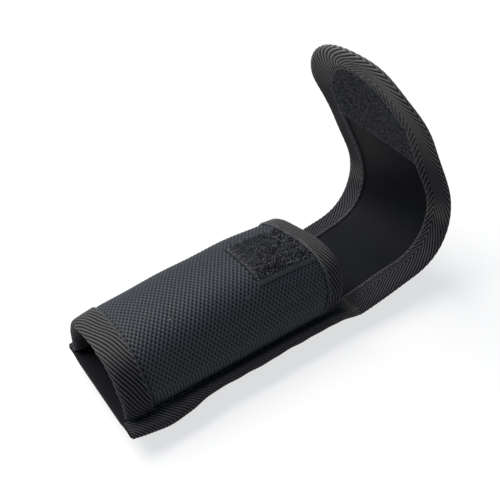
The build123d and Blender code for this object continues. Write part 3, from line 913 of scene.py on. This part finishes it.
tried = np.linspace(10, ARCH_LENGTH - 10, 2001)
crossing = look_up(ARCH, np.full(2001, HOOK_MIDDLE), tried)[:, 1]
HOOK_B = [float(np.interp(y, crossing, tried)) for y in (at("hook_patch", 0, 1) + 1.6, at("hook_patch", 1, 1) + 0.8)]
X, B = grid(spaced(0, 1, 0.3 / HOOK_LENGTH, 2), spaced(*HOOK_B, 0.3, 2))
X = HOOK_START + X * (hook_end(B) - HOOK_START)
edge = np.minimum.reduce([X - HOOK_START, hook_end(B) - X, B - HOOK_B[0], HOOK_B[1] - B])
strip = smooth(1 - (B - HOOK_B[0] - 1.9) / 0.5)  # the flat selvage on the near side
rng = np.random.default_rng(11)
rough = 0.14 * np.sin(X * 5.2) * np.sin(B * 4.8) + rng.uniform(-0.05, 0.05, X.shape)
height = 0.28 + 0.42 * smooth(edge / 0.5) + (1 - strip) * (0.12 + rough) + strip * 0.05 * np.sin(X * 2 * math.pi / 1.1)
base = slab("hook_patch_base", arch_place(X, B, height), arch_place(X, B, 0.02), HOOK_BASE,
            np.stack([X, B, strip], -1), 2)
stand(base, "hook_tape", nodes=["hook_patch"], **POUCH)
gx, gb = grid(np.arange(HOOK_START + 0.7, LENGTH, HOOK_PITCH[0]),
              np.arange(HOOK_B[0] + 2.6, HOOK_B[1] - 0.4, HOOK_PITCH[1]))
gx = (gx + rng.uniform(-0.18, 0.18, gx.shape)).ravel()
gb = (gb + rng.uniform(-0.18, 0.18, gb.shape)).ravel()
kept = gx < hook_end(gb) - 0.4
gx, gb = gx[kept], gb[kept]
crushed = smooth(1 - (gx - HOOK_START - 1.8) / 1.2)  # lower beside the foot end's stitches
way = rng.uniform(0, 2 * math.pi, gx.size)
bow = np.linspace(0, 1, 9) * math.pi * 1.25  # each hook turns past half round
reach = 0.26 * (1 - np.cos(bow)) * rng.uniform(0.8, 1.3, gx.size)[:, None]
tall = (rng.uniform(0.7, 1.1, gx.size) * (1 - 0.4 * crushed))[:, None]
tall = (0.2 + 0.95 * np.sin(np.minimum(bow, math.pi * 1.2))) * tall
hooks = arch_place(gx[:, None] + reach * np.cos(way)[:, None], gb[:, None] + reach * np.sin(way)[:, None], 0.55 + tall)
out = unit(arch_place(gx, gb, 1.0) - arch_place(gx, gb, 0.0))
sideways = unit(np.cross(out, flat(np.cos(way), np.sin(way))))
hooks = tubes("hook_patch_hooks", hooks, rng.uniform(0.09, 0.14, gx.size), HOOKS, sides=5, up=sideways)
stand(hooks, "hook_tape", **POUCH)


# ---- loop patch ----
def patch_start(y):
    """The loop patch's lower edge is sewn askew, its near side nearer the bend."""
    return 94.5 + 6.5 * y / 20.0


PATCH_HALF = 20.2
LOOP_COUNT = 3700


def loop_point(U, T):
    """Points of the loop patch on the flap: U from its lower edge to its upper, T across it from -1 to 1."""
    y = T * PATCH_HALF
    low = patch_start(y)
    round_end = (1 - np.abs(np.clip(T, -0.999, 0.999)) ** TIP_POWER) ** (1 / TIP_POWER)
    top = TIP_START + (TIP_LENGTH - 9.5) * round_end
    return low + U * (np.maximum(top, low + 3.0) - low), y


U, T = grid(spaced(0, 1, 0.5 / 42, 2), spaced(-1, 1, 0.5 / 20, 2))
S, Y = loop_point(U, T)
edge = np.minimum(U, 1 - U) * 30
lumps = 0.12 * np.sin(S * 3.1 + np.sin(Y * 1.7)) * np.sin(Y * 2.9) * smooth(edge / 1.5)
pad = slab("loop_patch_base", panel(S, Y, -(0.35 + 0.4 * smooth(edge / 0.8) + lumps)), panel(S, Y, -0.02),
           LOOP_BASE, flat(S, Y), 2)
stand(pad, "loop_tape", nodes=["loop_patch"], **TIP_MOTION)
rng = np.random.default_rng(21)
U, T = rng.uniform(0.02, 0.98, LOOP_COUNT), rng.uniform(-0.97, 0.97, LOOP_COUNT)
S, Y = loop_point(U, T)
way, size = rng.uniform(0, 2 * math.pi, LOOP_COUNT), rng.uniform(0.45, 1.0, LOOP_COUNT)[:, None]
t = np.linspace(0, 1, 7)
curl = rng.uniform(-0.6, 0.6, LOOP_COUNT)[:, None]
ds = size * (t - 0.5) * 1.5 + curl * np.sin(t * math.pi) * 0.4
dy = size * np.sin(t * math.pi * 2) * 0.35 + curl * np.sin(t * math.pi)
rise = 0.55 + size * 0.6 * np.sin(t * math.pi) * rng.uniform(0.5, 1.2, LOOP_COUNT)[:, None]
c, s = np.cos(way)[:, None], np.sin(way)[:, None]
fuzz = panel(S[:, None] + ds * c - dy * s, Y[:, None] + ds * s + dy * c, -rise)
loops = tubes("loop_patch_pile", fuzz, rng.uniform(0.09, 0.15, LOOP_COUNT), LOOPS, sides=4, taper=0.8)
stand(loops, "loop_tape", **TIP_MOTION)


# ---- belt loop ----
WALE = 1.6  # between the webbing's ribs
x, y = (spaced(at("belt_loop", 0, axis), at("belt_loop", 1, axis), 0.4) for axis in (0, 1))
X, Y = grid(x, y)
from_end = np.minimum(X - x[0], x[-1] - X)
BACK_Z = LINING_Z - LAMINATE  # the back panel's outside: the strap's ends are sewn to it, and the rest hangs free
level = (BACK_Z - 0.75) - (BACK_Z - 1.45) * smooth((from_end - 9.0) / 6.0)
wale = np.abs(np.sin(math.pi * Y / WALE)) ** 0.7
edge = np.minimum(Y - y[0], y[-1] - Y)
plump = 0.62 * smooth(edge / 0.9 + 0.35)
pick = np.sin(math.pi * (X / 0.9 + np.floor(Y / WALE)))
lower = np.stack([X, Y, level - plump + 0.1 - 0.08 * wale - 0.04 * pick * wale], -1)
upper = np.stack([X, Y, level + plump], -1)
strap = slab("belt_loop_strap", lower, upper, WEB, np.stack([X, Y, wale], -1))
stand(strap, "webbing", nodes=["belt_loop"], **POUCH)


def strap_place(a, w, d):
    """On the belt loop's sewn ends, which face down: a along x, w across."""
    a, w, d = np.broadcast_arrays(a, w, d)
    return np.stack([a, w, BACK_Z - 1.38 - d], -1)


BOX_LONG, BOX_HALF = 6.6, 18.6  # the box of stitches at each end of the strap
rows = []
for low in (x[0] + 1.2, x[-1] - 1.2 - BOX_LONG):
    (a, b), (c, d) = [[(end, side * BOX_HALF) for side in (-1, 1)] for end in (low, low + BOX_LONG)]
    for (x0, y0), (x1, y1) in ((a, b), (c, d), (a, c), (b, d), (a, d), (b, c)):
        n = max(2, int(math.hypot(x1 - x0, y1 - y0) / 2.9))
        t = np.linspace(-1, 1, 7)
        share = ((np.arange(n) + 0.5) / n)[:, None] + t * 0.39 / n
        rise = 0.22 - 0.4 * np.abs(t) ** 3
        rows.append(strap_place(x0 + (x1 - x0) * share, y0 + (y1 - y0) * share, rise))
boxes = tubes("belt_loop_stitches", np.concatenate(rows), 0.27, THREAD, flatten=THREAD_FLAT)
stand(boxes, "thread", nodes=["belt_loop_thread"], **POUCH)


# ---- stitches ----
TOP = TAPE + 0.06  # a row's height over a tape's inner face
UNDER = -LAMINATE - TOP - 0.1  # and on the far side of the laminate


def sew(name, place, start, end, w, d, seed, motion=POUCH, node=None, **how):
    stand(stitches(name, place, start, end, w, d, seed, **how), "thread", nodes=[node] if node else [], **motion)


CLOSE = dict(pitch=2.3, length=1.7, width=0.2, slant=0.2)
sew("foot_stitches", foot_place, LOW + 1, HIGH - 1, LEG - 0.8, TOP - 0.1, 31, node="foot_binding_thread", **CLOSE)
sew("foot_stitches_inside", foot_place, LOW + 2, HIGH - 2, LEG - 1.1, UNDER, 32, pitch=2.9)
sew("mouth_stitches", mouth_place, LOW + 1, HIGH - 1, MOUTH_LEG - 0.8, TOP - 0.1, 33, node="mouth_binding_thread",
    **CLOSE)
for side, place, seed in (("near", near_place, 34), ("far", far_place, 36)):
    row = (place, 1.5, LENGTH + 2.5)
    sew(f"side_stitches_{side}", *row, 8.2, FLANGE_RISE + TOP, seed, node=f"side_thread_{side}", pitch=3.4)
    sew(f"side_stitches_under_{side}", *row, 8.4, UNDER - 0.02, seed + 1, pitch=3.4)
FLAP_ROW = FLAP_LEG - 1.3  # in from the flap's edge
GAP = 0.3  # a row stops this far short of where its tape does
for name, start, end, seed, motion in (("flap_base", TAPE_START + 1, CUTS[1], 41, BASE_MOTION),
                                       ("flap_crown", CUTS[1], CUTS[2], 42, CROWN_MOTION)):
    for side, low, high in (("near", start, end), ("far", RIM_LENGTH - end, RIM_LENGTH - start)):
        row = (rim_place, low + GAP, high - GAP, FLAP_ROW)
        node = f"{name}_thread" if side == "near" else None
        sew(f"{name}_stitches_{side}", *row, TOP, seed, motion, node, width=0.24)
        sew(f"{name}_stitches_outside_{side}", *row, UNDER, seed + 4, motion)
row = (rim_place, CUTS[2] + GAP, FAR_CUTS[2] - GAP, FLAP_ROW)
sew("flap_tip_stitches", *row, TOP, 48, TIP_MOTION, "flap_tip_thread", width=0.24)
sew("flap_tip_stitches_outside", *row, UNDER, 49, TIP_MOTION)
FINE = dict(pitch=1.9, length=1.4, width=0.2)
sew("hook_patch_stitches_foot", lambda a, w, d: arch_place(HOOK_START + w, a, d), HOOK_B[0] + 0.5, HOOK_B[1] - 0.5,
    1.3, 0.72, 51, node="hook_patch_thread", **FINE)
sew("hook_patch_stitches_far", lambda a, w, d: arch_place(a, HOOK_B[1] - w, d), HOOK_START + 0.5, 87.0, 1.0, 0.7, 53,
    **FINE)
sew("loop_patch_stitches", lambda a, w, d: panel(patch_start(a) + w, a, -d), -20.5, 20.5, 1.0, 0.75, 54, TIP_MOTION,
    "loop_patch_thread", pitch=2.3, length=1.9, width=0.3)


# ---- floor, light, camera ----
def floor_material():
    m = Look("studio_floor")
    tone = m.noise(m.place(), 3.0, 2.0)
    m.shader.inputs["Emission Color"].default_value = (0.985, 0.99, 1.0, 1)
    m.shader.inputs["Emission Strength"].default_value = 0.71
    pale = m.mix(tone, (0.205, 0.205, 0.205), (0.22, 0.22, 0.22))
    return m.finish(pale, m.span(tone, 0.0, 1.0, 0.85, 0.95), specular=0.0)


FLOOR_SIDE, FLOOR_HALF, FLOOR_Z = 40, 3000, -0.05
gx, gy = grid(*[np.linspace(-FLOOR_HALF, FLOOR_HALF, FLOOR_SIDE)] * 2)
points = (flat(gx, gy) + [0, 0, FLOOR_Z]).reshape(-1, 3)
build("floor", points, grid_faces(FLOOR_SIDE, FLOOR_SIDE).tolist(), floor_material())

# the camera sees a white studio, and the object is lit by a dim blue sky and one softbox
world = bpy.data.worlds.new("studio")
scene.world = world
world.use_nodes = True
nodes, links = world.node_tree.nodes, world.node_tree.links
seen, sky = nodes["Background"], nodes.new("ShaderNodeBackground")
pick, path = nodes.new("ShaderNodeMixShader"), nodes.new("ShaderNodeLightPath")
seen.inputs[0].default_value, seen.inputs[1].default_value = (1, 1, 1, 1), 1.0
sky.inputs[0].default_value, sky.inputs[1].default_value = (0.70, 0.86, 1.0, 1), 0.18
links.new(path.outputs["Is Camera Ray"], pick.inputs[0])
links.new(sky.outputs[0], pick.inputs[1])
links.new(seen.outputs[0], pick.inputs[2])
links.new(pick.outputs[0], nodes["World Output"].inputs["Surface"])

light = bpy.data.lights.new("softbox", "AREA")
light.shape, light.size, light.size_y = "RECTANGLE", 1.5, 1.2
light.energy, light.color = 58.0, (1.0, 0.985, 0.975)
softbox = show("softbox", light)
softbox.location = (-0.42, 0.76, 1.44)
softbox.rotation_euler = Vector((0.42, -0.76, -1.42)).to_track_quat("-Z", "Y").to_euler()

camera = show("camera", bpy.data.cameras.new("camera"))
camera.location = (-0.1206, -0.1922, 0.1908)
camera.rotation_euler = [math.radians(v) for v in (55.56, 5.24, -34.52)]
camera.data.lens, camera.data.sensor_width = 49.56, 36.0
camera.data.clip_start, camera.data.clip_end = 0.01, 20.0
bpy.context.scene.camera = camera
scene.view_settings.view_transform = "Standard"
